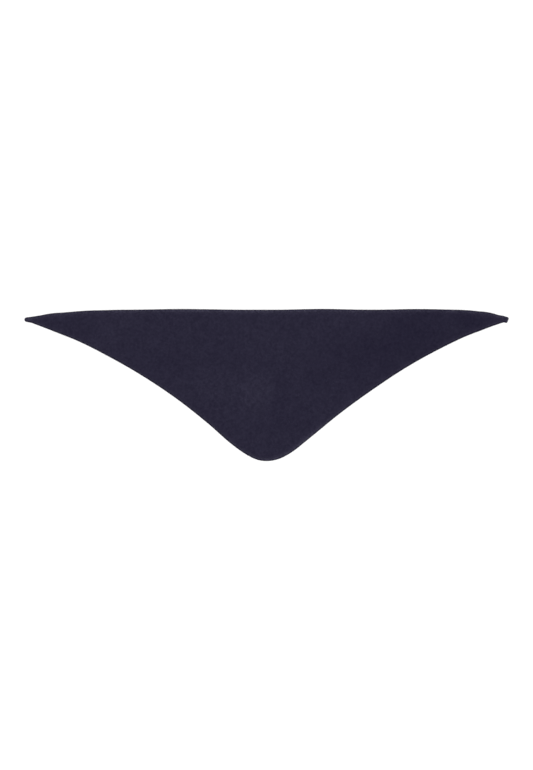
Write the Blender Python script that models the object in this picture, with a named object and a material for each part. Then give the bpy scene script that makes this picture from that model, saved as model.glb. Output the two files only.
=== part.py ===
# Triangular knitted cashmere scarf, laid flat in one layer.
# Metres, +Z up. The long straight edge runs along X on the +Y side, the rounded point
# is towards -Y, and the two narrow tips are at -X and +X. The origin is under the
# middle of the scarf, on the surface that it lies on.

import math
from collections import namedtuple

import bmesh
import bpy
from mathutils import Vector

MM = 0.001

# Driving sizes, in millimetres. The scarf is 1500 from tip to tip.
TIP_X = 750
LONG_EDGE_Y = 232.4

# Cloth
PANEL_THICKNESS = 2.0
SEAM_GAP = 0.3
STATIONS = 101
PANEL_COLUMNS = 12

# Knitted edges: a wider one along the long edge, a narrower one round both sides
LONG_BAND_WIDTH = 9.0
LONG_BAND_THICKNESS = 2.6
SIDE_BAND_WIDTH = 6.0
SIDE_BAND_THICKNESS = 2.4

# The long edge droops to each tip along part of a parabola
LEFT_DROOP = 25.5
LEFT_DROOP_LENGTH = 290
RIGHT_DROOP = 24.4
RIGHT_DROOP_LENGTH = 169

# Soft outward swells of the long edge, and one shallow hollow
Swell = namedtuple("Swell", "x half_length height")
SWELLS = (
    Swell(-667, 41, 1.7),
    Swell(-502, 59, -0.8),
    Swell(-258, 190, 2.0),
    Swell(172, 138, 2.4),
    Swell(468, 134, 2.1),
    Swell(688, 38, 1.6),
    Swell(738, 11, 1.3),
)

# The sides as they are knitted, from the left tip round the point to the right tip.
# Each row is a stretch: its run along the long edge, and the width it gains.
SIDE_START_X = -728
SIDE_START_Y = 192.5
Stretch = namedtuple("Stretch", "run gain")
STRETCHES = (
    Stretch(68, 26.0),
    Stretch(70, 28.0),
    Stretch(105, 52.5),
    Stretch(110, 64.0),
    Stretch(110, 75.0),
    Stretch(90, 72.0),
    Stretch(65, 57.0),
    Stretch(48, 34.0),
    Stretch(34, 16.0),
    Stretch(32, 3.5),
    Stretch(34, -6.5),
    Stretch(37, -19.0),
    Stretch(55, -43.0),
    Stretch(90, -73.5),
    Stretch(110, -80.5),
    Stretch(110, -72.0),
    Stretch(105, -57.5),
    Stretch(70, -33.5),
    Stretch(55, -21.5),
    Stretch(35, -13.0),
    Stretch(30, -10.0),
)

# The finished ends of the tips: the two corners of each end and their rounding.
# The left end is cast on and pulls in round, the right one is bound off square.
Tip = namedtuple("Tip", "long_x long_y side_x side_y radius")
LEFT_TIP = Tip(-750.1, 208.0, -750.0, 197.0, 6.1)
RIGHT_TIP = Tip(751.0, 207.8, 744.6, 191.8, 3.2)
TIP_THICKNESS = 2.6
CORNER_STEPS = 4

# The largest folds: low rises of the cloth off the surface, each an oval with its
# middle at x, y, half sizes along and across, the turn of its length from X, in
# degrees, and its height. The creases are the troughs between them.
Fold = namedtuple("Fold", "name x y along across turn height")
FOLDS = (
    Fold("left tip, outer side of its crease", -626, 182, 62, 48, 108, 3.2),
    Fold("left tip, inner side of its crease", -498, 152, 112, 54, 108, 3.8),
    Fold("long edge, left swell", -262, 190, 116, 82, 84, 3.4),
    Fold("left side, above its edge", -352, 76, 110, 50, -30, 3.0),
    Fold("middle, left of the centre", -188, 6, 120, 56, -24, 4.6),
    Fold("centre, broad rise", -34, -24, 84, 58, 78, 6.0),
    Fold("upper middle", 96, 118, 126, 54, 8, 4.0),
    Fold("near the point", 38, -118, 96, 46, 14, 3.2),
    Fold("long edge, right swell", 300, 176, 104, 78, 74, 3.8),
    Fold("right side, above its edge", 322, 30, 118, 46, 36, 3.4),
    Fold("right, towards the tip", 452, 138, 96, 58, 62, 3.6),
    Fold("right tip, inner side of its crease", 572, 184, 62, 40, 88, 3.6),
    Fold("right tip, outer side of its crease", 657, 196, 48, 40, 84, 2.8),
)

# Cross-sections of the knitted edges: how far across, and the share of the thickness
BandPoint = namedtuple("BandPoint", "across rise")
BAND_SHAPE = (
    BandPoint(0.0, 0.5),
    BandPoint(0.14, 0.88),
    BandPoint(0.5, 1.0),
    BandPoint(0.86, 0.88),
    BandPoint(1.0, 0.5),
)
BAND_UNDERSIDE = (0.0, 1.0)

NAVY = (0.0232, 0.0203, 0.0395)
NAVY_EDGE = (0.0262, 0.0232, 0.0435)
NAVY_TIP = (0.0215, 0.0190, 0.0370)


def clear_scene():
    for old in list(bpy.data.objects):
        bpy.data.objects.remove(old, do_unlink=True)


def side_points():
    """The ends of the knitted stretches, as x and y in millimetres."""
    x = SIDE_START_X
    y = SIDE_START_Y
    points = [(x, y)]
    for stretch in STRETCHES:
        x += stretch.run
        y -= stretch.gain
        points.append((x, y))
    return points


def smooth_curve(points):
    """Heights and slopes of a smooth curve through the points, ready to be read."""
    runs = [b[0] - a[0] for a, b in zip(points, points[1:])]
    slopes = [(b[1] - a[1]) / run for a, b, run in zip(points, points[1:], runs)]
    tangents = [slopes[0]]
    for before, after, run_before, run_after in zip(slopes, slopes[1:], runs, runs[1:]):
        mixed = before * run_after + after * run_before
        tangents.append(mixed / (run_before + run_after))
    tangents.append(slopes[-1])
    return points, tangents


def read_curve(curve, x):
    """Height of a smooth curve at x, by cubic steps between its points."""
    points, tangents = curve
    index = 0
    while index < len(points) - 2 and x > points[index + 1][0]:
        index += 1
    start = points[index]
    end = points[index + 1]
    run = end[0] - start[0]
    t = (x - start[0]) / run
    height = (2 * t ** 3 - 3 * t ** 2 + 1) * start[1]
    height += (t ** 3 - 2 * t ** 2 + t) * run * tangents[index]
    height += (3 * t ** 2 - 2 * t ** 3) * end[1]
    height += (t ** 3 - t ** 2) * run * tangents[index + 1]
    return height


SIDE_CURVE = smooth_curve(side_points())
SIDE_END_X = SIDE_CURVE[0][-1][0]


def soft_bump(distance):
    """1 in the middle, falling smoothly to 0 at distance 1 and beyond."""
    return max(0.0, 1 - distance * distance) ** 2


def long_edge_y(x):
    y = LONG_EDGE_Y
    for swell in SWELLS:
        y += swell.height * soft_bump((x - swell.x) / swell.half_length)
    left = max(0.0, 1 - (x + TIP_X) / LEFT_DROOP_LENGTH)
    right = max(0.0, 1 - (TIP_X - x) / RIGHT_DROOP_LENGTH)
    return y - LEFT_DROOP * left ** 2 - RIGHT_DROOP * right ** 2


def side_edge_y(x):
    return read_curve(SIDE_CURVE, x)


def lift(x, y):
    """Height of the cloth's underside above the surface, in millimetres."""
    height = 0.0
    for fold in FOLDS:
        turn = math.radians(fold.turn)
        dx = x - fold.x
        dy = y - fold.y
        along = (dx * math.cos(turn) + dy * math.sin(turn)) / fold.along
        across = (dy * math.cos(turn) - dx * math.sin(turn)) / fold.across
        height += fold.height * soft_bump(math.hypot(along, across))
    return height


def stations():
    """Evenly spaced x values between the finished tips."""
    start = SIDE_START_X + SEAM_GAP / 2
    end = SIDE_END_X - SEAM_GAP / 2
    step = (end - start) / (STATIONS - 1)
    return [start + step * i for i in range(STATIONS)]


def moved_in(edge_y, x, inset):
    """y of the line that lies inset millimetres inside an edge, measured square to it."""
    reach = 1.0
    slope = (edge_y(x + reach) - edge_y(x - reach)) / (2 * reach)
    return edge_y(x) + inset * math.hypot(1, slope)


def edge_line(edge_y, inset):
    return [Vector((x, moved_in(edge_y, x, inset))) for x in stations()]


def rounded_corner(before, corner, after, radius):
    """Points of the arc that rounds one corner, from the side of before to after."""
    back = (before - corner).normalized()
    ahead = (after - corner).normalized()
    half = back.angle(ahead) / 2
    reach = radius / math.tan(half)
    centre = corner + (back + ahead).normalized() * radius / math.sin(half)
    first = (corner + back * reach - centre).normalized()
    last = (corner + ahead * reach - centre).normalized()
    steps = range(CORNER_STEPS + 1)
    return [centre + first.slerp(last, i / CORNER_STEPS) * radius for i in steps]


def tip_lines(tip, x):
    """The long side and the knitted side of a finished tip that starts at x."""
    long_start = Vector((x, long_edge_y(x)))
    side_start = Vector((x, side_edge_y(x)))
    long_corner = Vector((tip.long_x, tip.long_y))
    side_corner = Vector((tip.side_x, tip.side_y))
    near = [long_start, long_start.lerp(long_corner, 0.4)]
    near += rounded_corner(long_start, long_corner, side_corner, tip.radius)
    far = [side_start, side_start.lerp(side_corner, 0.4)]
    far += rounded_corner(side_start, side_corner, long_corner, tip.radius)
    return near, far


def knit_material(name, colour):
    material = bpy.data.materials.new(name)
    material.use_nodes = True
    shader = material.node_tree.nodes["Principled BSDF"]
    shader.inputs["Base Color"].default_value = (*colour, 1)
    shader.inputs["Roughness"].default_value = 0.92
    shader.inputs["Metallic"].default_value = 0
    return material


def cloth_wall(name, near, far, shape, underside, thickness, material):
    """A closed wall of cloth lofted through its sections.

    Each section runs from a point of the near line to the same point of the far line.
    Its top follows the shape, and its underside lies on the surface or on a fold.
    """
    mesh = bmesh.new()
    rings = []
    for start, end in zip(near, far):
        ring = []
        for point in shape:
            at = start.lerp(end, point.across)
            z = lift(at.x, at.y) + thickness * point.rise
            ring.append(mesh.verts.new((at.x * MM, at.y * MM, z * MM)))
        for across in reversed(underside):
            at = start.lerp(end, across)
            ring.append(mesh.verts.new((at.x * MM, at.y * MM, lift(at.x, at.y) * MM)))
        rings.append(ring)
    for ring, following in zip(rings, rings[1:]):
        for i in range(len(ring)):
            j = (i + 1) % len(ring)
            mesh.faces.new((ring[i], ring[j], following[j], following[i]))
    mesh.faces.new(rings[0])
    mesh.faces.new(rings[-1])
    bmesh.ops.recalc_face_normals(mesh, faces=mesh.faces)

    data = bpy.data.meshes.new(name)
    mesh.to_mesh(data)
    mesh.free()
    data.materials.append(material)
    data.shade_smooth()
    data.set_sharp_from_angle(angle=math.radians(40))
    return bpy.data.objects.new(name, data)


def body_panel():
    """The one layer of jersey, up to its seams with the knitted edges."""
    near = edge_line(long_edge_y, -(LONG_BAND_WIDTH + SEAM_GAP))
    far = edge_line(side_edge_y, SIDE_BAND_WIDTH + SEAM_GAP)
    across = [i / PANEL_COLUMNS for i in range(PANEL_COLUMNS + 1)]
    shape = [BandPoint(share, 1.0) for share in across]
    material = knit_material("navy_jersey", NAVY)
    return cloth_wall("body_panel", near, far, shape, across, PANEL_THICKNESS, material)


def long_edge_band():
    near = edge_line(long_edge_y, 0)
    far = edge_line(long_edge_y, -LONG_BAND_WIDTH)
    material = knit_material("navy_long_edge", NAVY_EDGE)
    return cloth_wall("long_edge_band", near, far, BAND_SHAPE, BAND_UNDERSIDE,
                      LONG_BAND_THICKNESS, material)


def side_edge_band():
    near = edge_line(side_edge_y, SIDE_BAND_WIDTH)
    far = edge_line(side_edge_y, 0)
    material = knit_material("navy_side_edge", NAVY_EDGE)
    return cloth_wall("side_edge_band", near, far, BAND_SHAPE, BAND_UNDERSIDE,
                      SIDE_BAND_THICKNESS, material)


def tip_end(name, tip, start_x):
    near, far = tip_lines(tip, start_x)
    material = knit_material(name + "_yarn", NAVY_TIP)
    return cloth_wall(name, near, far, BAND_SHAPE, BAND_UNDERSIDE, TIP_THICKNESS, material)


def build_scarf():
    clear_scene()
    scarf = bpy.data.collections.new("cashmere_scarf")
    bpy.context.scene.collection.children.link(scarf)
    pieces = (
        body_panel(),
        long_edge_band(),
        side_edge_band(),
        tip_end("left_tip", LEFT_TIP, SIDE_START_X - SEAM_GAP / 2),
        tip_end("right_tip", RIGHT_TIP, SIDE_END_X + SEAM_GAP / 2),
    )
    for piece in pieces:
        scarf.objects.link(piece)


build_scarf()
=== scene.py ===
import math
from collections import namedtuple

import bpy
import numpy as np
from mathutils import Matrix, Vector, noise


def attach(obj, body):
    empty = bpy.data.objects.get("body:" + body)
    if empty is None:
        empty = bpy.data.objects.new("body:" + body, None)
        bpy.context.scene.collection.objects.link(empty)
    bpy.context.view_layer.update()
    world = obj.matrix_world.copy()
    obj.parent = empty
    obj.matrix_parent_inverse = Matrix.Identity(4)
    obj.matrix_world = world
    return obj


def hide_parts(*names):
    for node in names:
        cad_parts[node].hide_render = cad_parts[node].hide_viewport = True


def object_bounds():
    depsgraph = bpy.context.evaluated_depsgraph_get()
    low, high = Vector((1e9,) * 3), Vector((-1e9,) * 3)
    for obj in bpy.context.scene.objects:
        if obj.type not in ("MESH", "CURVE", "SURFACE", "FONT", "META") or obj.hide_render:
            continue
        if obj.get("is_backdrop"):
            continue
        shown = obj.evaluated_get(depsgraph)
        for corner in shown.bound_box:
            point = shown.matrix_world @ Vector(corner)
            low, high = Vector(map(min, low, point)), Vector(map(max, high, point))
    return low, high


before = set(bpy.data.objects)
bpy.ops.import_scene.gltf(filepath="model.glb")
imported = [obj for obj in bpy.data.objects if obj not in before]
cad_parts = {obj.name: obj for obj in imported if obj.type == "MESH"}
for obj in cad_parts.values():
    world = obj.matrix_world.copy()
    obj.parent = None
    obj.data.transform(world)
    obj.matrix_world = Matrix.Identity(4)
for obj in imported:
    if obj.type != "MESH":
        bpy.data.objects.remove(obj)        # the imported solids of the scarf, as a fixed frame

cadBox = [list(corner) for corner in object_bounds()]
mm = 0.001
print("scarf: frame loaded")


# Reading the form from the solids

stations = 101           # places along X where the outlines of the pieces are read
liftStep = 3 * mm        # spacing of the map of the underside's height
liftSoftness = 9 * mm    # rounds off the flat facets of the solids
micron = 1e-6            # keeps a cut just inside the ends of a piece


def nodePoints(node):
    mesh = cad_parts[node].data
    flat = np.empty(len(mesh.vertices) * 3)
    mesh.vertices.foreach_get("co", flat)
    return flat.reshape(-1, 3)


def undersideEdges(node):
    # the edges of the faces that look down, each from its lower x to its higher x
    faces = [f.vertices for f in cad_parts[node].data.polygons if f.normal.z < -0.5]
    pairs = [(face[i - 1], face[i]) for face in faces for i in range(len(face))]
    edges = nodePoints(node)[np.array(pairs)]
    turned = edges[:, 0, 0] > edges[:, 1, 0]
    edges[turned] = edges[turned][:, ::-1]
    return edges[edges[:, 1, 0] - edges[:, 0, 0] > micron]


def crossSection(edges, x):
    # where a plane at x cuts the edges, from -Y to +Y
    near = edges[(edges[:, 0, 0] <= x) & (edges[:, 1, 0] >= x)]
    share = (x - near[:, 0, 0]) / (near[:, 1, 0] - near[:, 0, 0])
    cut = near[:, 0] + (near[:, 1] - near[:, 0]) * share[:, None]
    return cut[np.argsort(cut[:, 1])]


def readLines(node):
    # the two long lines of a piece in plan: rows of x, low y and high y
    edges = undersideEdges(node)
    xs = np.linspace(edges[..., 0].min() + micron, edges[..., 0].max() - micron, stations)
    cuts = [crossSection(edges, x)[:, 1] for x in xs]
    return np.array([(x, cut.min(), cut.max()) for x, cut in zip(xs, cuts)])


def readLift():
    # a smooth map of the underside's height over the whole scarf
    edges = np.concatenate([undersideEdges(node) for node in
                            ("body_panel", "long_edge_band", "side_edge_band")])
    left, right = edges[..., 0].min() + micron, edges[..., 0].max() - micron
    xs = np.arange(cadBox[0][0], cadBox[1][0] + liftStep, liftStep)
    ys = np.arange(cadBox[0][1], cadBox[1][1] + liftStep, liftStep)
    rows = [crossSection(edges, min(max(x, left), right)) for x in xs]
    heights = np.array([np.interp(ys, row[:, 1], row[:, 2]) for row in rows])
    reach = int(3 * liftSoftness / liftStep)
    kernel = np.exp(-(np.arange(-reach, reach + 1) * liftStep / liftSoftness) ** 2 / 2)
    kernel /= kernel.sum()
    for axis in (0, 1):
        margin = [(reach, reach) if a == axis else (0, 0) for a in (0, 1)]
        wide = np.pad(heights, margin, "edge")
        heights = np.apply_along_axis(np.convolve, axis, wide, kernel, "valid")
    return heights


def liftAt(x, y):
    # height of the smooth map, also between its points
    u = np.clip((x - cadBox[0][0]) / liftStep, 0, liftMap.shape[0] - 1.001)
    v = np.clip((y - cadBox[0][1]) / liftStep, 0, liftMap.shape[1] - 1.001)
    i, j = u.astype(int), v.astype(int)
    u, v = u - i, v - j
    low = liftMap[i, j] * (1 - v) + liftMap[i, j + 1] * v
    high = liftMap[i + 1, j] * (1 - v) + liftMap[i + 1, j + 1] * v
    return low * (1 - u) + high * u


def refine(grid, count):
    # smooth cubic steps through the rows of a grid, evenly spaced
    t = np.linspace(0, len(grid) - 1, count)
    i = np.clip(t.astype(int), 0, len(grid) - 2)
    f = (t - i).reshape((-1,) + (1,) * (grid.ndim - 1))
    slope = np.gradient(grid, axis=0)
    start = (2 * f ** 3 - 3 * f ** 2 + 1) * grid[i] + (f ** 3 - 2 * f ** 2 + f) * slope[i]
    end = (3 * f ** 2 - 2 * f ** 3) * grid[i + 1] + (f ** 3 - f ** 2) * slope[i + 1]
    return start + end


liftMap = readLift()
panelLines = readLines("body_panel")
longLines = readLines("long_edge_band")
sideLines = readLines("side_edge_band")
print("scarf: form read, highest fold", round(liftMap.max() / mm, 1), "mm")


# Folds, creases and the cloth's own unevenness, added to the height of the solids

drape = {
    "rippleSize": 84 * mm, "rippleHeight": 3.6 * mm, "rippleSeed": 3.1,
    "rippleLift": 0.45,      # raises the ripples, so that few are pressed out by the floor
    "puckerSize": 34 * mm, "puckerHeight": 1.2 * mm, "puckerSeed": 7.7,
    "puckerPace": 0.8,       # below 1 the puckers run longer along X
    "grainSize": 8 * mm, "grainHeight": 0.08 * mm, "grainSeed": 1.9,
    "edgeCalm": 24 * mm,     # the ripples die down this near to the outline
    "landing": 0.25 * mm,    # how softly the cloth comes down to the floor
}

# Each crease runs from a start to an end in mm and bows sideways; a positive height is
# a soft ridge, a negative one a trough
crease = namedtuple("crease", "name start end bow width height")
creases = [
    crease("left tip crease", (-573, 206), (-545, 126), -4, 15, -2.4),
    crease("left tip crease, outer lip", (-590, 208), (-568, 140), -5, 13, 1.0),
    crease("left tip crease, inner lip", (-552, 212), (-520, 118), -4, 16, 1.2),
    crease("left tip, second fold", (-656, 212), (-640, 176), 3, 12, 0.8),
    crease("right tip crease", (612, 226), (617, 158), 3, 13, -2.2),
    crease("right tip crease, inner lip", (597, 226), (600, 150), 4, 12, 1.1),
    crease("right tip crease, outer lip", (630, 222), (634, 168), 3, 12, 0.9),
    crease("press line over the point", (-108, -134), (106, -136), -5, 8, 0.55),
    crease("press line at the point", (-84, -154), (78, -157), -4, 7, 0.45),
    crease("drag from the left side", (-286, 18), (-118, -58), 9, 15, 0.9),
    crease("left of the broad rise", (-92, 42), (-62, -88), -8, 17, -1.0),
    crease("right of the broad rise", (24, 48), (44, -92), 7, 20, -1.3),
    crease("under the long edge, left", (-420, 196), (-196, 176), 7, 17, -0.7),
    crease("under the long edge, right", (196, 182), (404, 196), -8, 18, -0.8),
    crease("drag to the right side", (128, 26), (252, -44), -8, 16, 0.8),
    crease("right side, along the edge", (268, -8), (420, 84), 6, 14, 0.7),
    crease("flute in the right half", (372, 210), (396, 96), 6, 17, 0.9),
    crease("flute in the left half", (-372, 206), (-398, 70), -6, 18, 0.8),
]


def creaseHeight(x, y, line):
    # highest along the middle of its line, and fading out to its sides and ends
    start = np.array(line.start) * mm
    end = np.array(line.end) * mm
    run = end - start
    length = np.hypot(*run)
    along = ((x - start[0]) * run[0] + (y - start[1]) * run[1]) / length ** 2
    across = ((y - start[1]) * run[0] - (x - start[0]) * run[1]) / length
    across -= line.bow * mm * 4 * along * (1 - along)
    reach = np.clip(4 * along * (1 - along), 0, 1) ** 0.75     # 0 at its ends
    return line.height * mm * reach * np.exp(-(across / (line.width * mm)) ** 2 * 2)


def fromEdges(x, y):
    # distances in plan from the outline of the long edge and from that of the sides
    longY = np.interp(x, longLines[:, 0], longLines[:, 2])
    sideY = np.interp(x, sideLines[:, 0], sideLines[:, 1])
    slope = np.interp(x, sideLines[:, 0], np.gradient(sideLines[:, 1], sideLines[:, 0]))
    return np.maximum(longY - y, 0), np.maximum(y - sideY, 0) / np.hypot(1, slope)


def noiseAt(x, y, size, seed):
    points = zip((x / size).ravel(), (y / size).ravel())
    return np.array([noise.noise((u, v, seed)) for u, v in points]).reshape(x.shape)


def settled(x, y):
    # height of the underside: the fold of the solid, with ripples and creases, never
    # below the surface that the scarf lies on
    ripple = drape["rippleLift"] + noiseAt(x, y, drape["rippleSize"], drape["rippleSeed"])
    pucker = noiseAt(x * drape["puckerPace"], y, drape["puckerSize"], drape["puckerSeed"])
    free = 1 - np.exp(-np.minimum(*fromEdges(x, y)) / drape["edgeCalm"])
    ripples = drape["rippleHeight"] * ripple + drape["puckerHeight"] * pucker
    height = liftAt(x, y) + ripples * free
    height += drape["grainHeight"] * noiseAt(x, y, drape["grainSize"], drape["grainSeed"])
    for line in creases:
        height += creaseHeight(x, y, line)
    return (height + np.hypot(height, drape["landing"])) / 2


# Places painted lighter or darker, which stand in for light and shade: painted light over
# the rises, painted shade in the creases and towards the right tip, where the light falls off,
# with some brushed nap; the middle and half sizes of a place in mm, its turn in degrees and
# its tone
paintedPlaceFade = 1.7            # square of the distance, in half sizes, where a place has faded
lightAndShadePlace = namedtuple("lightAndShadePlace", "name at half turn tone")
lightAndShadePlaces = [
    lightAndShadePlace("over the broad rise", (-30, -34), (70, 56), 76, 0.26),
    lightAndShadePlace("left of the rise", (-145, -10), (125, 66), 0, 0.10),
    lightAndShadePlace("below the rise, left", (-108, -98), (44, 32), 0, 0.08),
    lightAndShadePlace("right of the rise", (44, -44), (84, 36), 80, -0.10),
    lightAndShadePlace("over the point", (58, -122), (92, 34), 14, -0.06),
    lightAndShadePlace("above the rise", (-30, 140), (90, 46), 0, 0.07),
    lightAndShadePlace("left of the middle", (-132, 106), (54, 38), 10, -0.07),
    lightAndShadePlace("along the left side", (-320, 70), (120, 44), -22, -0.07),
    lightAndShadePlace("inside the left tip crease", (-480, 172), (70, 48), 60, 0.09),
    lightAndShadePlace("in the left tip crease", (-580, 172), (68, 44), 78, -0.07),
    lightAndShadePlace("left tip", (-666, 200), (72, 40), 0, -0.04),
    lightAndShadePlace("right of the middle", (162, 20), (50, 40), 0, -0.13),
    lightAndShadePlace("under the long edge, right", (302, 206), (104, 34), 0, 0.08),
    lightAndShadePlace("broad, right half", (300, 100), (160, 78), 12, -0.16),
    lightAndShadePlace("broad, towards the right tip", (470, 160), (176, 108), -8, -0.23),
    lightAndShadePlace("light place between them", (356, 160), (52, 40), 0, 0.10),
    lightAndShadePlace("low on the right side", (276, 20), (76, 40), 38, -0.10),
    lightAndShadePlace("along the right side", (368, 46), (44, 28), 40, -0.16),
    lightAndShadePlace("long edge, before the right tip", (532, 222), (66, 15), -4, -0.12),
    lightAndShadePlace("in the right tip crease", (636, 202), (66, 40), -14, -0.26),
    lightAndShadePlace("right tip", (700, 204), (34, 22), -12, -0.10),
]


# painted light and shade: the summed tones of the places, lighter over rises, darker in creases
def paintedLightAndShade(x, y):
    tone = np.zeros_like(x)
    for place in lightAndShadePlaces:
        turn = math.radians(place.turn)
        dx = x - place.at[0] * mm
        dy = y - place.at[1] * mm
        along = (dx * math.cos(turn) + dy * math.sin(turn)) / (place.half[0] * mm)
        across = (dy * math.cos(turn) - dx * math.sin(turn)) / (place.half[1] * mm)
        tone += place.tone * np.clip(1 - (along ** 2 + across ** 2) / paintedPlaceFade, 0, 1) ** 2
    return tone


# The knitted edges get a painted highlight, most along the middle of the long edge and
# round the point, and painted shade where they roll down to the outline
edgeHighlightAndShade = {
    "longHighlight": 0.86, "longReach": 8.6 * mm,
    "middleHighlight": 0.50, "middleAt": -80 * mm, "middleHalf": 190 * mm,
    "sideHighlight": 0.66, "sideReach": 6.6 * mm,
    "pointHighlight": 1.04, "pointReach": 7.8 * mm, "pointAt": 75 * mm, "pointHalf": 150 * mm,
    "longRollShade": 0.56, "sideRollShade": 0.78, "rollShadeReach": 3.2 * mm,
}


# painted highlight along the edges and painted shade where they roll under, as one tone
def edgeHighlightAndShadeAt(x, fromLong, fromSide):
    middle = np.exp(-((x - edgeHighlightAndShade["middleAt"]) / edgeHighlightAndShade["middleHalf"]) ** 2)
    point = np.exp(-((x - edgeHighlightAndShade["pointAt"]) / edgeHighlightAndShade["pointHalf"]) ** 2)
    long = edgeHighlightAndShade["longHighlight"] + edgeHighlightAndShade["middleHighlight"] * middle
    tone = long * np.exp(-(fromLong / edgeHighlightAndShade["longReach"]) ** 2)
    tone += edgeHighlightAndShade["sideHighlight"] * np.exp(-(fromSide / edgeHighlightAndShade["sideReach"]) ** 2)
    tone += edgeHighlightAndShade["pointHighlight"] * point * np.exp(-(fromSide / edgeHighlightAndShade["pointReach"]) ** 2)
    roll = np.maximum(edgeHighlightAndShade["longRollShade"] * np.exp(-(fromLong / edgeHighlightAndShade["rollShadeReach"]) ** 2),
                      edgeHighlightAndShade["sideRollShade"] * np.exp(-(fromSide / edgeHighlightAndShade["rollShadeReach"]) ** 2))
    return (1 + tone) * (1 - roll) - 1


# painted light and shade of the places and of the edges together
def paintedLightAndShadeWithEdges(x, y):
    return paintedLightAndShade(x, y) + edgeHighlightAndShadeAt(x, *fromEdges(x, y))


# Mesh helpers

def addObject(name, data):
    item = bpy.data.objects.new(name, data)
    bpy.context.scene.collection.objects.link(item)
    return item


def newPiece(name, points, faces, uvs, tones, materials, faceMaterials=None):
    mesh = bpy.data.meshes.new(name)
    mesh.from_pydata(points.tolist(), [], faces)
    layer = mesh.uv_layers.new(name="knit")
    loops = np.empty(len(mesh.loops), int)
    mesh.loops.foreach_get("vertex_index", loops)
    layer.data.foreach_set("uv", np.asarray(uvs)[loops].ravel())
    # the tone attribute holds painted light and shade, which the materials read
    attribute = mesh.attributes.new("paintedLightAndShade", "FLOAT", "POINT")
    attribute.data.foreach_set("value", np.asarray(tones, float).ravel())
    for material in materials:
        mesh.materials.append(material)
    if faceMaterials is not None:
        mesh.polygons.foreach_set("material_index", faceMaterials)
    mesh.shade_smooth()
    mesh.update()
    return addObject(name, mesh)


def ringFaces(rings, ringSize):
    # quads between rings of points, and a cap at each end
    i = np.arange(rings - 1)[:, None] * ringSize
    j = np.arange(ringSize)[None, :]
    k = (j + 1) % ringSize
    quads = np.stack([i + j, i + ringSize + j, i + ringSize + k, i + k], axis=-1)
    faces = quads.reshape(-1, 4).tolist()
    faces.append(list(range(ringSize)))
    faces.append(list(range(rings * ringSize - 1, (rings - 1) * ringSize - 1, -1)))
    return faces


def alongLine(points):
    # distance along a line of points
    steps = np.hypot(np.diff(points[:, 0]), np.diff(points[:, 1]))
    return np.concatenate([[0], np.cumsum(steps)])


# Shader node groups

def newGroup(name, inputs, outputs):
    group = bpy.data.node_groups.new(name, "ShaderNodeTree")
    for socketName, kind, value in inputs:
        socket = group.interface.new_socket(socketName, in_out="INPUT", socket_type=kind)
        if value is not None:
            socket.default_value = value
    for socketName, kind in outputs:
        group.interface.new_socket(socketName, in_out="OUTPUT", socket_type=kind)
    return group, group.nodes.new("NodeGroupInput"), group.nodes.new("NodeGroupOutput")


def setInputs(node, values):
    for socketName, value in values.items():
        node.inputs[socketName].default_value = value


def addMath(tree, operation, *values, kind="ShaderNodeMath"):
    # each value is a plain number or vector, or another node's output
    node = tree.nodes.new(kind)
    node.operation = operation
    for socket, value in zip(node.inputs, values):
        if isinstance(value, bpy.types.NodeSocket):
            tree.links.new(value, socket)
        else:
            socket.default_value = value
    return node.outputs[0]


def addVectorMath(tree, operation, *values):
    return addMath(tree, operation, *values, kind="ShaderNodeVectorMath")


def addWave(tree, kind, turns):
    # a sine or cosine that swings once in each turn
    return addMath(tree, kind, addMath(tree, "MULTIPLY", turns, math.tau))


def addRange(tree, value, low, high, toLow=0.0, toHigh=1.0):
    node = tree.nodes.new("ShaderNodeMapRange")
    node.interpolation_type = "SMOOTHSTEP"
    tree.links.new(value, node.inputs["Value"])
    setInputs(node, {"From Min": low, "From Max": high, "To Min": toLow, "To Max": toHigh})
    return node.outputs["Result"]


def addNoise(tree, coords, scale, detail=2.0, rough=0.5):
    node = tree.nodes.new("ShaderNodeTexNoise")
    tree.links.new(coords, node.inputs["Vector"])
    setInputs(node, {"Scale": scale, "Detail": detail, "Roughness": rough})
    return node


wanderScale = 110        # how fast the rows of stitches wander, in drifts to a metre


def wanderingCoords(tree, coords, amount):
    # coordinates that drift a little, so that no row of stitches is quite straight
    drift = addNoise(tree, coords, wanderScale, 1.0)
    centred = addVectorMath(tree, "SUBTRACT", drift.outputs["Color"], (0.5, 0.5, 0.5))
    moved = addVectorMath(tree, "MULTIPLY_ADD", centred, amount, coords)
    parts = tree.nodes.new("ShaderNodeSeparateXYZ")
    tree.links.new(moved, parts.inputs[0])
    return parts.outputs["X"], parts.outputs["Y"]


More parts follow.
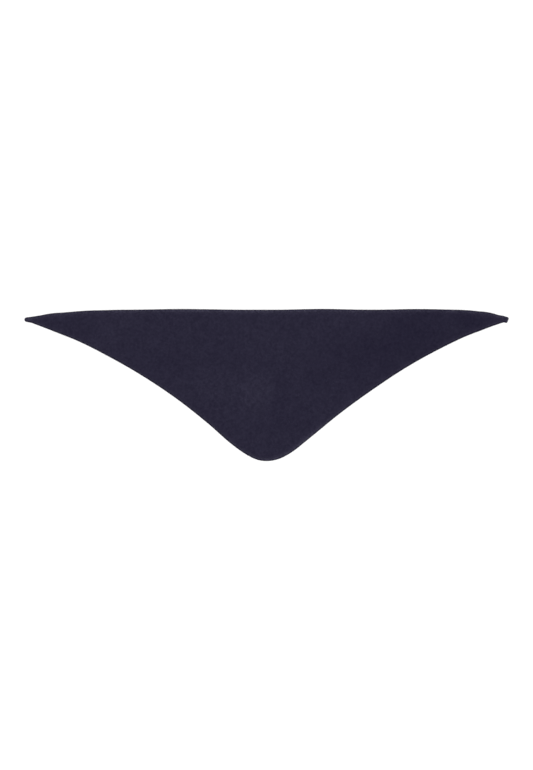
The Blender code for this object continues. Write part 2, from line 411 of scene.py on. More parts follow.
def buildJerseyFace():
    # columns of V stitches: wales run along U, courses follow each other along it
    group, into, out = newGroup(
        "jerseyFace",
        [("Coords", "NodeSocketVector", None), ("Wale", "NodeSocketFloat", 0.002),
         ("Course", "NodeSocketFloat", 0.0015), ("Slant", "NodeSocketFloat", 2.1),
         ("Wander", "NodeSocketFloat", 0.0004)],
        [("Height", "NodeSocketFloat"), ("Yarn", "NodeSocketFloat")])
    u, v = wanderingCoords(group, into.outputs["Coords"], into.outputs["Wander"])
    wale = addMath(group, "DIVIDE", v, into.outputs["Wale"])
    cell = addMath(group, "SUBTRACT", addMath(group, "FRACT", wale), 0.5)
    side = addMath(group, "ABSOLUTE", cell)
    lean = addMath(group, "MULTIPLY", side, into.outputs["Slant"])
    course = addMath(group, "ADD", addMath(group, "DIVIDE", u, into.outputs["Course"]), lean)
    turn = addWave(group, "COSINE", course)
    strand = addMath(group, "POWER", addMath(group, "MULTIPLY_ADD", turn, 0.5, 0.5), 0.6)
    betweenWales = addRange(group, side, 0.5, 0.36)              # 0 between two wales
    middle = addRange(group, side, 0.0, 0.11, 0.35, 1.0)         # a dip where two legs meet
    yarn = addMath(group, "MULTIPLY", addMath(group, "MULTIPLY", betweenWales, middle),
                   addMath(group, "MULTIPLY_ADD", strand, 0.85, 0.15))
    group.links.new(yarn, out.inputs["Yarn"])
    group.links.new(yarn, out.inputs["Height"])
    return group


def buildJerseyBack():
    # the purl side: rows of small arcs that lie across the wales
    group, into, out = newGroup(
        "jerseyBack",
        [("Coords", "NodeSocketVector", None), ("Wale", "NodeSocketFloat", 0.002),
         ("Course", "NodeSocketFloat", 0.0015), ("Wander", "NodeSocketFloat", 0.0004)],
        [("Height", "NodeSocketFloat"), ("Yarn", "NodeSocketFloat")])
    u, v = wanderingCoords(group, into.outputs["Coords"], into.outputs["Wander"])
    wale = addMath(group, "DIVIDE", v, into.outputs["Wale"])
    wave = addWave(group, "SINE", wale)
    course = addMath(group, "MULTIPLY_ADD", wave, 0.24,
                     addMath(group, "DIVIDE", u, into.outputs["Course"]))
    turn = addWave(group, "COSINE", course)
    arc = addMath(group, "MULTIPLY_ADD", turn, 0.5, 0.5)
    height = addMath(group, "MULTIPLY", arc, addMath(group, "MULTIPLY_ADD", wave, 0.12, 0.88))
    group.links.new(height, out.inputs["Height"])
    group.links.new(addMath(group, "MULTIPLY_ADD", height, 0.7, 0.3), out.inputs["Yarn"])
    return group


napGrain = {
    "patchScale": 34,                    # broad felted patches, in counts to a metre
    "streakScale": (150, 60, 16),
    "shares": {"mottle": 0.69, "patch": 0.18, "streak": 0.13},
    "hairScale": (520, 4200, 520),       # along and across the fine lying hairs
    "hairDrift": (0.006, 0.006, 0), "hairDriftScale": 60,
    "hairPeaks": (0.50, 0.72),           # only the peaks of the noise are hairs
    "hairWays": ((0.62, 0.0), (-0.85, 3.7)),     # turn and place of each of the two lays
}


def addFibres(tree, coords, turn, place):
    # fine lying hairs, all about one way, bent by a slow drift
    drift = addNoise(tree, coords, napGrain["hairDriftScale"], 1.0)
    bent = addVectorMath(tree, "MULTIPLY_ADD", drift.outputs["Color"], napGrain["hairDrift"],
                         coords)
    laid = tree.nodes.new("ShaderNodeMapping")
    setInputs(laid, {"Location": (place, place, 0), "Rotation": (0, 0, turn),
                     "Scale": napGrain["hairScale"]})
    tree.links.new(bent, laid.inputs["Vector"])
    fibres = addNoise(tree, laid.outputs["Vector"], 1.0, 1.0)
    return addRange(tree, fibres.outputs["Fac"], *napGrain["hairPeaks"])


def buildBrushedNap():
    # felted mottling in two sizes, faint streaks across the wales, and fine lying hairs
    group, into, out = newGroup(
        "brushedNap",
        [("Coords", "NodeSocketVector", None), ("Mottle Size", "NodeSocketFloat", 0.006)],
        [("Tone", "NodeSocketFloat"), ("Hairs", "NodeSocketFloat")])
    coords = into.outputs["Coords"]
    scale = addMath(group, "DIVIDE", 1.0, into.outputs["Mottle Size"])
    mottle = addNoise(group, coords, 1.0, 3.0, 0.60)
    group.links.new(scale, mottle.inputs["Scale"])
    patch = addNoise(group, coords, napGrain["patchScale"], 2.0, 0.55)
    drawnOut = group.nodes.new("ShaderNodeMapping")
    setInputs(drawnOut, {"Scale": napGrain["streakScale"]})
    group.links.new(coords, drawnOut.inputs["Vector"])
    streak = addNoise(group, drawnOut.outputs["Vector"], 1.0, 1.0)
    fine = addRange(group, mottle.outputs["Fac"], 0.28, 0.72)
    broad = addRange(group, patch.outputs["Fac"], 0.30, 0.70)
    streaks = addRange(group, streak.outputs["Fac"], 0.30, 0.70)
    shares = napGrain["shares"]
    tone = addMath(group, "MULTIPLY", fine, shares["mottle"])
    tone = addMath(group, "MULTIPLY_ADD", broad, shares["patch"], tone)
    tone = addMath(group, "MULTIPLY_ADD", streaks, shares["streak"], tone)
    group.links.new(tone, out.inputs["Tone"])
    lays = [addFibres(group, coords, turn, place) for turn, place in napGrain["hairWays"]]
    group.links.new(addMath(group, "MAXIMUM", *lays), out.inputs["Hairs"])
    return group


def buildPliedYarn():
    # the twist of a plied yarn: U runs along it in metres, V goes round it once
    group, into, out = newGroup(
        "pliedYarn",
        [("Coords", "NodeSocketVector", None), ("Twist", "NodeSocketFloat", 0.0022)],
        [("Height", "NodeSocketFloat")])
    parts = group.nodes.new("ShaderNodeSeparateXYZ")
    group.links.new(into.outputs["Coords"], parts.inputs[0])
    turns = addMath(group, "DIVIDE", parts.outputs["X"], into.outputs["Twist"])
    phase = addMath(group, "MULTIPLY_ADD", parts.outputs["Y"], 2.0, turns)
    wave = addWave(group, "SINE", phase)
    group.links.new(addMath(group, "MULTIPLY_ADD", wave, 0.5, 0.5), out.inputs["Height"])
    return group


jerseyFace = buildJerseyFace()
jerseyBack = buildJerseyBack()
brushedNap = buildBrushedNap()
pliedYarn = buildPliedYarn()


# Materials, all finishes of the same navy cashmere

navy = (0.0133, 0.0115, 0.0260)

greyFibre = (0.0143, 0.0136, 0.0197)     # its share rises and falls with the tone
roughSpread = 0.05
softSheen = {
    "Specular IOR Level": 0.06,
    "Sheen Roughness": 0.55,
    "Sheen Tint": (0.55, 0.52, 0.72, 1),
}


def addGroup(tree, group, coords, values):
    node = tree.nodes.new("ShaderNodeGroup")
    node.node_tree = group
    tree.links.new(coords, node.inputs["Coords"])
    setInputs(node, values)
    return node


def cashmere(name, look):
    material = bpy.data.materials.new(name)
    material.use_nodes = True
    tree = material.node_tree
    shader = tree.nodes["Principled BSDF"]
    uvMap = tree.nodes.new("ShaderNodeUVMap")
    uvMap.uv_map = "knit"
    coords = uvMap.outputs["UV"]
    position = tree.nodes.new("ShaderNodeTexCoord").outputs["Object"]

    nap = addGroup(tree, brushedNap, position, {"Mottle Size": look["mottle"]})
    if look["knit"] == "yarn":
        stitches = addGroup(tree, pliedYarn, coords, {"Twist": look["twist"]})
        yarn = addMath(tree, "MULTIPLY_ADD", stitches.outputs["Height"], 0.4, 0.6)
    else:
        group = jerseyFace if look["knit"] == "face" else jerseyBack
        stitches = addGroup(tree, group, coords, {"Wale": look["wale"], "Course": look["course"]})
        yarn = stitches.outputs["Yarn"]

    # tone of the surface: painted light and shade of the places and edges, mottling, lying hairs
    # and painted shade between the yarns
    # the painted light and shade of the places and edges, carried on the mesh
    place = tree.nodes.new("ShaderNodeAttribute")
    place.attribute_name = "paintedLightAndShade"
    mottling = addMath(tree, "MULTIPLY_ADD", nap.outputs["Tone"], look["mottling"],
                       1 - look["mottling"] / 2)
    # painted shade between the yarns, deepest where they part
    shade = addMath(tree, "MULTIPLY_ADD", yarn, look["grooveShade"], 1 - look["grooveShade"] / 2)
    shade = addMath(tree, "MULTIPLY_ADD", nap.outputs["Hairs"], look["hairTone"], shade)
    tone = addMath(tree, "MULTIPLY", addMath(tree, "ADD", place.outputs["Fac"], 1.0),
                   addMath(tree, "MULTIPLY", mottling, shade))
    # the tone, with its painted light and shade, lightens and darkens the yarn towards its greyer
    # fibres
    rest = [whole - part for whole, part in zip(look["colour"], greyFibre)]
    colour = addVectorMath(tree, "MULTIPLY_ADD", tone, greyFibre, rest)
    tree.links.new(colour, shader.inputs["Base Color"])
    rough = addRange(tree, nap.outputs["Tone"], 0.2, 0.9, look["rough"] - roughSpread,
                     look["rough"] + roughSpread)
    tree.links.new(rough, shader.inputs["Roughness"])

    # the nap hides the stitches more in some places than in others
    clear = addRange(tree, nap.outputs["Tone"], 0.1, 0.9, 1.0, look["clearness"])
    relief = addMath(tree, "MULTIPLY", stitches.outputs["Height"], clear)
    relief = addMath(tree, "MULTIPLY_ADD", nap.outputs["Hairs"], look["hairRelief"], relief)
    bump = tree.nodes.new("ShaderNodeBump")
    setInputs(bump, {"Strength": look["strength"], "Distance": look["depth"]})
    tree.links.new(relief, bump.inputs["Height"])
    tree.links.new(bump.outputs["Normal"], shader.inputs["Normal"])
    setInputs(shader, {"Sheen Weight": look["sheen"], **softSheen})
    return material


# Each other finish names only what differs from the face of the jersey
jersey = dict(knit="face", colour=navy, wale=2.0 * mm, course=1.5 * mm, mottle=7.6 * mm,
              mottling=0.61, grooveShade=0.50, hairTone=0.30, rough=0.93, clearness=0.45,
              hairRelief=0.30, strength=0.60, depth=0.40 * mm, sheen=0.16)
looks = {
    "face": jersey,
    "back": dict(jersey, knit="back", grooveShade=0.45),
    "edge": dict(jersey, wale=2.2 * mm, course=1.6 * mm, mottle=5.8 * mm, mottling=1.10,
                 rough=0.92, clearness=0.65, hairRelief=0.25, strength=0.70,
                 depth=0.45 * mm, sheen=0.18),
    "yarn": dict(jersey, knit="yarn", twist=2.4 * mm, mottle=5.8 * mm, mottling=0.80,
                 grooveShade=0.40, rough=0.92, clearness=0.8, depth=0.15 * mm, sheen=0.18),
    "hair": dict(jersey, knit="yarn", colour=(0.0290, 0.0258, 0.0510), twist=1.0 * mm,
                 mottle=9.0 * mm, mottling=0.60, grooveShade=0.10, hairTone=0.0, rough=0.90,
                 clearness=1.0, hairRelief=0.0, strength=0.10, depth=0.02 * mm, sheen=0.25),
}
jerseyMaterial = cashmere("navy_jersey_face", looks["face"])
backMaterial = cashmere("navy_jersey_back", looks["back"])
edgeMaterial = cashmere("navy_knitted_edge", looks["edge"])
yarnMaterial = cashmere("navy_edge_yarn", looks["yarn"])
hairMaterial = cashmere("navy_loose_hairs", looks["hair"])
print("scarf: materials made")


# The panel

panel = {
    "name": "jerseyPanel",
    "sections": 500,
    "faceColumns": 124,
    "backColumns": 60,
    "thickness": 1.9 * mm,
    "seamDrop": 0.35 * mm,       # the wall thins into the seams
    "seamReach": 2.2 * mm,
    "seamLap": 0.35 * mm,        # closes the gap that the solids keep at a seam
}


def wallRows(columns):
    # points of the underside, section by section, in the given number of columns
    lines = refine(panelLines, panel["sections"])
    lines[:, 1] -= panel["seamLap"]
    lines[:, 2] += panel["seamLap"]
    share = np.linspace(0, 1, columns)
    x = np.repeat(lines[:, :1], columns, axis=1)
    y = lines[:, 1:2] * (1 - share) + lines[:, 2:3] * share
    return x, y, settled(x, y)


def seamDistance(y):
    # distance of each point of a section from the nearer of its two seams
    return np.minimum(y - y[:, :1], y[:, -1:] - y)


def makePanel():
    faceX, faceY, faceZ = wallRows(panel["faceColumns"])
    backX, backY, backZ = wallRows(panel["backColumns"])
    thin = panel["seamDrop"] * np.exp(-seamDistance(faceY) / panel["seamReach"])
    face = np.stack([faceX, faceY, faceZ + panel["thickness"] - thin], axis=-1)
    back = np.stack([backX, backY, backZ], axis=-1)[:, ::-1]
    rings = np.concatenate([face, back], axis=1)
    count, size = rings.shape[:2]
    points = rings.reshape(-1, 3)
    faces = ringFaces(count, size)
    slots = np.zeros((count - 1, size), int)
    slots[:, panel["faceColumns"] - 1:] = 1
    slots = np.concatenate([slots.ravel(), [1, 1]])
    # the panel takes the painted light and shade of the places and the edges
    tones = paintedLightAndShadeWithEdges(points[:, 0], points[:, 1])
    piece = newPiece(panel["name"], points, faces, points[:, :2], tones,
                     [jerseyMaterial, backMaterial], slots)
    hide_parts("body_panel")
    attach(piece, "root")
    return piece


jerseyPanel = makePanel()
print("scarf: panel made,", len(jerseyPanel.data.polygons), "faces")


# The knitted edges

bands = {
    "long": dict(name="longEdge", node="long_edge_band", slot="long_edge", outer=2, inner=1,
                 step=1.6 * mm, width=9 * mm, thickness=2.75 * mm),
    "side": dict(name="sideEdge", node="side_edge_band", slot="side_edge", outer=1, inner=2,
                 step=1.6 * mm, width=6 * mm, thickness=2.5 * mm),
}

# Cross-section of an edge: the way from its outer line to its seam, and the rise
edgeShape = [(0.07, 0.0), (0.015, 0.16), (0.0, 0.40), (0.03, 0.66), (0.10, 0.86), (0.21, 0.97),
             (0.34, 1.0), (0.50, 0.96), (0.66, 0.86), (0.82, 0.76), (0.94, 0.69),
             (1.02, 0.60), (1.02, 0.0), (0.50, 0.0)]


def makeBand(band, lines):
    # a closed rounded edge, from sections a step apart along its two lines
    length = alongLine(lines[:, :2])[-1]
    rows = refine(lines, int(length / band["step"]) + 1)
    outer, inner = rows[:, [0, band["outer"]]], rows[:, [0, band["inner"]]]
    s = alongLine((outer + inner) / 2)
    # the long edge goes round the other way, so that its faces point out too
    shape = edgeShape if band["outer"] == 1 else edgeShape[::-1]
    ring = []
    ringUv = []
    for across, rise in shape:
        at = outer + (inner - outer) * across
        z = settled(at[:, 0], at[:, 1]) + band["thickness"] * rise
        ring.append(np.column_stack([at, z]))
        ringUv.append(np.column_stack([s, across * (inner - outer)[:, 1]]))
    rings = np.stack(ring, axis=1)
    uvs = np.stack(ringUv, axis=1).reshape(-1, 2)
    points = rings.reshape(-1, 3)
    # the edge takes the painted light and shade of the places and its own painted highlight and
    # roll shade
    tones = paintedLightAndShadeWithEdges(points[:, 0], points[:, 1])
    piece = newPiece(band["name"], points, ringFaces(*rings.shape[:2]), uvs, tones,
                     [edgeMaterial])
    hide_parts(band["node"])
    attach(piece, "root")
    return piece


longEdge = makeBand(bands["long"], longLines)
sideEdge = makeBand(bands["side"], sideLines)
print("scarf: knitted edges made")


def edgeHeight(band, distance):
    # thickness of a knitted edge at this distance from its outline, up to its seam
    shape = np.array(edgeShape[2:-3])
    rise = np.interp(distance / bands[band]["width"], shape[:, 0], shape[:, 1])
    return rise * bands[band]["thickness"]


def clothHeight(fromLong, fromSide):
    # thickness of the cloth at these distances from the outlines of its two edges
    height = np.where(fromSide < bands["side"]["width"], edgeHeight("side", fromSide),
                      panel["thickness"])
    return np.where(fromLong < bands["long"]["width"], edgeHeight("long", fromLong), height)


def clothTop(x, y):
    return settled(x, y) + clothHeight(*fromEdges(x, y))


# The finished tips

tips = {
    "left": dict(name="leftTip", node="left_tip", seamSide=1, seamMiddle=(-728 * mm, 200 * mm)),
    "right": dict(name="rightTip", node="right_tip", seamSide=-1, seamMiddle=(735 * mm, 200 * mm)),
    "sections": 36,
    "columns": 33,
    "crest": 2.2 * mm,       # a tip is rounded over this far in from its outline
    "blend": 6 * mm,         # and takes the height of the cloth over this far from its seam
    "inset": 0.02 * mm,      # its first and last sections lie this far inside its ends
    "seam": 0.1 * mm,        # and the sections this near to the seam lap over it
    "lap": 0.35 * mm,        # this far, which closes the gap that the solids keep
}


def outlineOf(node):
    # the outer line of a tip in plan, counter-clockwise, by its convex hull
    points = sorted(set((round(p[0], 6), round(p[1], 6)) for p in nodePoints(node)))

    def halfHull(ordered):
        hull = []
        for p in ordered:
            while len(hull) > 1:
                (ax, ay), (bx, by) = hull[-2:]
                if (bx - ax) * (p[1] - ay) - (by - ay) * (p[0] - ax) > 0:
                    break
                hull.pop()
            hull.append(p)
        return hull[:-1]

    return np.array(halfHull(points) + halfHull(points[::-1]))


def spanAt(outline, x):
    # lowest and highest y of the outline at x
    ys = []
    for a, b in zip(outline, np.roll(outline, -1, axis=0)):
        if min(a[0], b[0]) <= x <= max(a[0], b[0]) and a[0] != b[0]:
            ys.append(a[1] + (b[1] - a[1]) * (x - a[0]) / (b[0] - a[0]))
    return min(ys), max(ys)


def tipHeight(fromLong, fromSide, fromEnd, fromSeam):
    # thickness of a tip at these distances from its sides, its end and its seam
    rounded = [edgeHeight(band, np.minimum(distance, tips["crest"])) for band, distance in
               (("long", fromLong), ("side", fromSide), ("side", fromEnd))]
    full = np.minimum(np.minimum(rounded[0], rounded[1]), rounded[2])
    share = np.clip(fromSeam / tips["blend"], 0, 1)
    share = share * share * (3 - 2 * share)
    return full * share + np.minimum(full, clothHeight(fromLong, fromSide)) * (1 - share)


def makeTip(tip):
    outline = outlineOf(tip["node"])
    left, right = outline[:, 0].min(), outline[:, 0].max()
    turns = np.linspace(0, math.pi, tips["sections"])
    xs = (left + right) / 2 - (right - left) / 2 * np.cos(turns)
    xs = np.clip(xs, left + tips["inset"], right - tips["inset"])
    across = (1 - np.cos(np.linspace(0, math.pi, tips["columns"]))) / 2
    rings = []
    tones = []
    for x in xs:
        low, high = spanAt(outline, x)
        fromEnd, fromSeam = (x - left, right - x)[::tip["seamSide"]]
        y = low + (high - low) * across
        lap = tips["lap"] * tip["seamSide"] if fromSeam < tips["seam"] else 0
        px = np.full_like(y, x + lap)
        base = settled(px, y)
        top = base + tipHeight(high - y, y - low, fromEnd, fromSeam)
        # painted light and shade: the places' tones with the edges' painted highlight and roll
        # shade
        tone = paintedLightAndShade(px, y) + edgeHighlightAndShadeAt(px, high - y, np.minimum(y - low, fromEnd))
        # the underside keeps every second point of the face
        rings.append(np.concatenate([np.column_stack([px, y, top]),
                                     np.column_stack([px, y, base])[::-2]]))
        tones.append(np.concatenate([tone, tone[::-2]]))
    rings = np.array(rings)
    points = rings.reshape(-1, 3)
    piece = newPiece(tip["name"], points, ringFaces(*rings.shape[:2]), points[:, :2],
                     np.concatenate(tones), [edgeMaterial])
    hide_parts(tip["node"])
    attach(piece, "root")
    return piece


leftTip = makeTip(tips["left"])
rightTip = makeTip(tips["right"])
print("scarf: tips made")


# Stitches in real yarn along the edges

drawnIn = 0.6            # the ends of a short length of yarn have this share of its width
lookAhead = 0.6          # the direction at a stitch is read this many pitches on
lineRows = 1400          # points of each long line, from one tip to the other
rimSteps = 4200          # points of the whole outline


def yarnTube(line, radius, sides):
    # a closed round tube along a short line, its ends drawn in
    tangents = np.gradient(line, axis=0)
    tangents /= np.linalg.norm(tangents, axis=1, keepdims=True)
    up = np.array([0.0, 0.0, 1.0])
    s = np.concatenate([[0], np.cumsum(np.linalg.norm(np.diff(line, axis=0), axis=1))])
    points = []
    uvs = []
    for i, (at, tangent) in enumerate(zip(line, tangents)):
        sideways = np.cross(tangent, up)
        sideways /= np.linalg.norm(sideways)
        over = np.cross(sideways, tangent)
        size = radius * (drawnIn if i in (0, len(line) - 1) else 1.0)
        for j in range(sides):
            angle = math.tau * j / sides
            points.append(at + (sideways * math.cos(angle) + over * math.sin(angle)) * size)
            uvs.append((s[i], j / sides))
    return np.array(points), ringFaces(len(line), sides), np.array(uvs)


def joined(parts):
    points, faces, uvs = [], [], []
    start = 0
    for partPoints, partFaces, partUvs in parts:
        faces += [[index + start for index in face] for face in partFaces]
        points.append(partPoints)
        uvs.append(partUvs)
        start += len(partPoints)
    return np.concatenate(points), faces, np.concatenate(uvs)


def loosened(tangents, looseness, random):
    # the same directions, each turned a little and made a little longer or shorter
    turns = random.uniform(-1, 1, len(tangents)) * math.radians(looseness["turn"])
    cosines, sines = np.cos(turns), np.sin(turns)
    turned = np.column_stack([tangents[:, 0] * cosines - tangents[:, 1] * sines,
                              tangents[:, 0] * sines + tangents[:, 1] * cosines,
                              np.zeros(len(tangents))])
    sizes = 1 + random.uniform(-1, 1, len(tangents)) * looseness["size"]
    return turned * sizes[:, None]


def repeatAlong(name, template, origins, tangents, looseness):
    # one copy of the template for each place, turned to lie along the line there
    points, faces, uvs = template
    count = len(points)
    random = np.random.default_rng(looseness["seed"])
    tangents = loosened(tangents, looseness, random)
    sides = np.column_stack([-tangents[:, 1], tangents[:, 0], np.zeros(len(tangents))])
    origins = origins + random.uniform(-1, 1, origins.shape) * looseness["shift"]
    ups = np.broadcast_to(np.array([0.0, 0.0, 1.0]), origins.shape)
    placed = (origins[:, None] + tangents[:, None] * points[None, :, :1]
              + sides[:, None] * points[None, :, 1:2] + ups[:, None] * points[None, :, 2:])
    allFaces = []
    for i in range(len(origins)):
        allFaces += [[index + i * count for index in face] for face in faces]
    flat = placed.reshape(-1, 3)
    # the stitches take the painted light and shade of the cloth under them
    piece = newPiece(name, flat, allFaces, np.tile(uvs, (len(origins), 1)),
                     paintedLightAndShadeWithEdges(flat[:, 0], flat[:, 1]), [yarnMaterial])
    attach(piece, "root")
    return piece


def evenlyAlong(line, pitch):
    # places a whole number of pitches apart along a line, with their directions
    s = alongLine(line)
    count = int(round(s[-1] / pitch))
    at = np.linspace(0, s[-1], count, endpoint=False)
    places = np.stack([np.interp(at, s, line[:, i]) for i in range(3)], axis=-1)
    on = at + pitch * lookAhead
    tangents = np.stack([np.interp(on, s, line[:, i]) for i in range(3)], axis=-1) - places
    tangents[:, 2] = 0
    tangents /= np.linalg.norm(tangents, axis=1, keepdims=True)
    return places, tangents


rim = {
    "name": "rimChain",
    "pitch": 2.4 * mm,
    "inset": 0.58 * mm,
    "halfWidth": 0.82 * mm,
    "yarnRadius": 0.37 * mm,
    "yarnSides": 5,
    "sink": 0.05 * mm,           # how far the middle of the chain sinks into the edge
    "innerRise": 0.26 * mm,      # the inner leg of a link lies higher on the rounded edge
    "outerDrop": 0.62 * mm,      # and the outer leg lower
    "tipStart": 0.6 * mm,        # the tips' own lines start this far past their seams
    # one leg of a link: along in pitches, across in half widths, and height in mm
    "leg": [(-0.30, 0.10, -0.55), (0.02, 0.72, 0.02), (0.34, 1.0, 0.22), (0.68, 0.92, 0.16),
            (0.98, 0.38, -0.10), (1.14, 0.12, -0.50)],
    "looseness": dict(seed=5, turn=4.0, size=0.06, shift=0.08 * mm),
}


def chainLink():
    # the two legs of one link, side by side
    parts = []
    for hand, rise in ((1, rim["innerRise"]), (-1, -rim["outerDrop"])):
        leg = [(x * rim["pitch"], y * hand * rim["halfWidth"], z * mm + rise * y)
               for x, y, z in rim["leg"]]
        parts.append(yarnTube(np.array(leg), rim["yarnRadius"], rim["yarnSides"]))
    return joined(parts)


def aroundTip(points, tip):
    # direction of each point of a tip from the middle of its seam
    middle = tips[tip]["seamMiddle"]
    return np.arctan2(points[:, 1] - middle[1], points[:, 0] - middle[0])


def outerLoop():
    # the whole outline in plan, counter-clockwise from the left end of the side edge
    side = refine(sideLines, lineRows)[:, [0, 1]]
    longLine = refine(longLines, lineRows)[::-1, [0, 2]]
    right = outlineOf("right_tip")
    left = outlineOf("left_tip")
    right = right[right[:, 0] > right[:, 0].min() + rim["tipStart"]]
    left = left[left[:, 0] < left[:, 0].max() - rim["tipStart"]]
    right = right[np.argsort(aroundTip(right, "right"))]
    left = left[np.argsort(aroundTip(left, "left") % math.tau)]
    loop = np.concatenate([side, right, longLine, left])
    return np.concatenate([loop, loop[:1]])


def moveIn(loop, inset):
    # the same loop, this far inside
    tangent = np.gradient(loop, axis=0)
    tangent /= np.linalg.norm(tangent, axis=1, keepdims=True)
    return loop + np.stack([-tangent[:, 1], tangent[:, 0]], axis=-1) * inset


def rimLoop():
    # the outline in short even steps
    loop = outerLoop()
    s = alongLine(loop)
    at = np.linspace(0, s[-1], rimSteps)
    return np.column_stack([np.interp(at, s, loop[:, 0]), np.interp(at, s, loop[:, 1])])


def makeRimChain():
    line = moveIn(rimLoop(), rim["inset"])
    x, y = line[:, 0], line[:, 1]
    z = settled(x, y) + edgeHeight("long", rim["inset"]) - rim["sink"]
    places, tangents = evenlyAlong(np.stack([x, y, z], axis=-1), rim["pitch"])
    return repeatAlong(rim["name"], chainLink(), places, tangents, rim["looseness"])


rimChain = makeRimChain()
print("scarf: rim chain made,", len(rimChain.data.polygons), "faces")


# Linking stitches over the seams between the panel and its knitted edges

linking = {
    "pitch": 2.4 * mm,
    "yarnRadius": 0.27 * mm,
    "yarnSides": 4,
    "height": 1.72 * mm,         # of the middle of a stitch above the underside
    # one stitch, in mm: along the seam, across it, and height
    "bar": [(-0.75, -0.95, -0.35), (-0.35, -0.55, 0.12), (0.0, 0.0, 0.22), (0.35, 0.55, 0.12),
            (0.75, 0.95, -0.35)],
    "looseness": dict(seed=9, turn=8.0, size=0.09, shift=0.12 * mm),
}


def makeLinking(name, lines, column):
    rows = refine(lines, lineRows)
    x, y = rows[:, 0], rows[:, column]
    seam = np.column_stack([x, y, settled(x, y) + linking["height"]])
    places, tangents = evenlyAlong(seam, linking["pitch"])
    bar = np.array(linking["bar"]) * mm
    stitch = yarnTube(bar, linking["yarnRadius"], linking["yarnSides"])
    return repeatAlong(name, stitch, places, tangents, linking["looseness"])


longLinking = makeLinking("longLinking", longLines, 1)
sideLinking = makeLinking("sideLinking", sideLines, 2)
print("scarf: linking stitches made")


# Loose hairs of the brushed nap, as fine tapered spikes that lie back on the cloth

hairs = {
    "seed": 11,
    "bendAt": 0.55,              # share of the length where a hair bends
    "bendWidth": 0.75,           # its width there, as a share of the root's
    "curl": 0.35,                # how far a tip may turn aside, as a share of the length
    "droop": 0.45,               # how much of its rise a tip loses
    "clearance": 0.05 * mm,      # a hair stays this far off the floor, a root this far in
    "surface": dict(name="surfaceHairs", count=12000, length=(2.0, 5.5), rise=(4, 24),
                    radius=0.045 * mm, slot="jersey", reach=735 * mm, margin=2 * mm, tries=4),
    "edge": dict(name="edgeHairs", count=4600, length=(0.9, 2.6), rise=(-12, 34),
                 radius=0.038 * mm, slot="tip_yarn", inset=0.9 * mm, height=(0.7, 1.9),
                 spread=0.9),
}


def makeHairs(look, roots, turns, random):
    count = len(roots)
    length = random.uniform(*look["length"], count)[:, None] * mm
    rise = np.radians(random.uniform(*look["rise"], count))
    curl = random.uniform(-hairs["curl"], hairs["curl"], count)
    ahead = np.column_stack([np.cos(turns) * np.cos(rise), np.sin(turns) * np.cos(rise),
                             np.sin(rise)])
    side = np.column_stack([-np.sin(turns), np.cos(turns), np.zeros(count)])
    over = np.cross(ahead, side)
    middle = roots + ahead * length * hairs["bendAt"]
    tip = roots + (ahead + side * curl[:, None]) * length
    tip[:, 2] -= length[:, 0] * np.maximum(np.sin(rise), 0) * hairs["droop"]
    points = np.empty((count, 7, 3))
    for k in range(3):
        angle = math.tau * k / 3
        spoke = (side * math.cos(angle) + over * math.sin(angle)) * look["radius"]
        points[:, k] = roots + spoke
        points[:, 3 + k] = middle + spoke * hairs["bendWidth"]
    points[:, 6] = tip
    spike = [(0, 2, 1), (0, 1, 4, 3), (1, 2, 5, 4), (2, 0, 3, 5), (3, 4, 6), (4, 5, 6), (5, 3, 6)]
    faces = [[7 * i + index for index in face] for i in range(count) for face in spike]
    flat = points.reshape(-1, 3)
    flat[:, 2] = np.maximum(flat[:, 2], hairs["clearance"])
    along = np.tile([0, 0, 0, 0.5, 0.5, 0.5, 1.0], count) * mm
    uvs = np.column_stack([along, np.tile([0, 0.33, 0.67, 0, 0.33, 0.67, 0.5], count)])
    # the hairs take the painted light and shade of the places under them
    piece = newPiece(look["name"], flat, faces, uvs, paintedLightAndShade(flat[:, 0], flat[:, 1]),
                     [hairMaterial])
    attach(piece, "root")
    return piece


def makeSurfaceHairs(random):
    look = hairs["surface"]
    tries = look["count"] * look["tries"]
    x = random.uniform(-look["reach"], look["reach"], tries)
    y = random.uniform(cadBox[0][1], cadBox[1][1], tries)
    inside = y < np.interp(x, longLines[:, 0], longLines[:, 2]) - look["margin"]
    inside &= y > np.interp(x, sideLines[:, 0], sideLines[:, 1]) + look["margin"]
    x, y = x[inside][:look["count"]], y[inside][:look["count"]]
    roots = np.column_stack([x, y, clothTop(x, y) - hairs["clearance"]])
    return makeHairs(look, roots, random.uniform(0, math.tau, len(x)), random)


def makeEdgeHairs(random):
    look = hairs["edge"]
    s = alongLine(outerLoop())
    at = random.uniform(0, s[-1], look["count"])
    line = moveIn(rimLoop(), look["inset"])
    even = np.linspace(0, s[-1], len(line))
    x, y = np.interp(at, even, line[:, 0]), np.interp(at, even, line[:, 1])
    step = np.gradient(line, axis=0)
    outward = np.arctan2(-np.interp(at, even, step[:, 0]), np.interp(at, even, step[:, 1]))
    z = settled(x, y) + random.uniform(*look["height"], len(x)) * mm
    turns = outward + random.uniform(-look["spread"], look["spread"], len(x))
    return makeHairs(look, np.column_stack([x, y, z]), turns, random)


hairRandom = np.random.default_rng(hairs["seed"])
surfaceHairs = makeSurfaceHairs(hairRandom)
edgeHairs = makeEdgeHairs(hairRandom)
print("scarf: loose hairs made")


# Floor, light and camera

studio = {
    "floorSize": 90.0,
    "floorDrop": 0.05 * mm,      # keeps the floor just clear of the underside
    "floorFinish": {"Base Color": (0.90, 0.90, 0.905, 1), "Roughness": 0.9,
                    "Specular IOR Level": 0.1},
    "worldColour": (0.94, 0.95, 0.97, 1),
    "worldStrength": 0.70,
    "skyExtra": 0.40,                    # what a low view sees past the floor's edge
    "keyFrom": (-1.6, 1.4, 5.7),         # the side that the key light comes from
    "keySoftness": math.radians(28),
    "keyStrength": 2.06,
    "keyColour": (1.0, 0.985, 0.96),
}


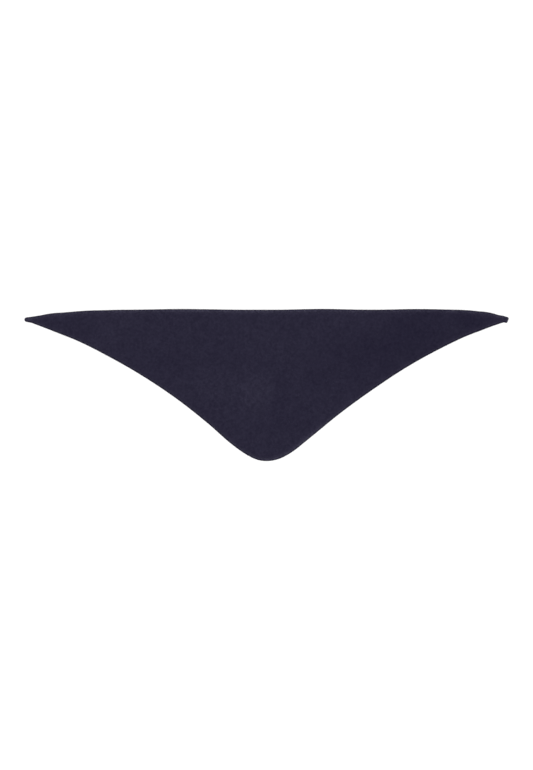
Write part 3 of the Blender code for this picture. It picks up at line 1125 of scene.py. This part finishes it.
def makeFloor():
    size = studio["floorSize"] / 2
    corners = [(x, y, -studio["floorDrop"]) for x, y in
               ((-size, -size), (size, -size), (size, size), (-size, size))]
    mesh = bpy.data.meshes.new("floor")
    mesh.from_pydata(corners, [], [(0, 1, 2, 3)])
    material = bpy.data.materials.new("pale_floor")
    material.use_nodes = True
    shader = material.node_tree.nodes["Principled BSDF"]
    setInputs(shader, studio["floorFinish"])
    mesh.materials.append(material)
    floor = addObject("floor", mesh)
    floor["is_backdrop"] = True


def makeLights():
    light = bpy.data.lights.new("key", "SUN")
    light.angle = studio["keySoftness"]
    light.energy = studio["keyStrength"]
    light.color = studio["keyColour"]
    key = addObject("key", light)
    key.rotation_euler = Vector(studio["keyFrom"]).to_track_quat("Z", "Y").to_euler()
    world = bpy.data.worlds.new("studio")
    world.use_nodes = True
    background = world.node_tree.nodes["Background"]
    background.inputs["Color"].default_value = studio["worldColour"]
    # the sky that the camera sees is as bright as the floor, so no horizon shows
    seen = world.node_tree.nodes.new("ShaderNodeLightPath").outputs["Is Camera Ray"]
    strength = addMath(world.node_tree, "MULTIPLY_ADD", seen, studio["skyExtra"],
                       studio["worldStrength"])
    world.node_tree.links.new(strength, background.inputs["Strength"])
    bpy.context.scene.world = world


view = {
    "pixelsWide": 533,
    "pixelsHigh": 770,
    "scarfPixels": 484.2,        # tip to tip in the picture
    "above": (-0.3 * mm, -0.5 * mm),     # the place that the camera is straight above
    "lens": 85.0,
    "farthest": 100,
}


def makeCamera():
    data = bpy.data.cameras.new("photoCamera")
    data.lens = view["lens"]
    camera = addObject("photoCamera", data)
    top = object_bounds()[1].z
    frameWidth = (cadBox[1][0] - cadBox[0][0]) * view["pixelsWide"] / view["scarfPixels"]
    sensorWidth = data.sensor_width * view["pixelsWide"] / view["pixelsHigh"]
    height = frameWidth * data.lens / sensorWidth + top / 2
    camera.location = (*view["above"], height)
    data.clip_end = view["farthest"]
    bpy.context.scene.camera = camera


makeFloor()
makeLights()
makeCamera()
bpy.context.scene.view_settings.view_transform = "Standard"
print("scarf: stage set")
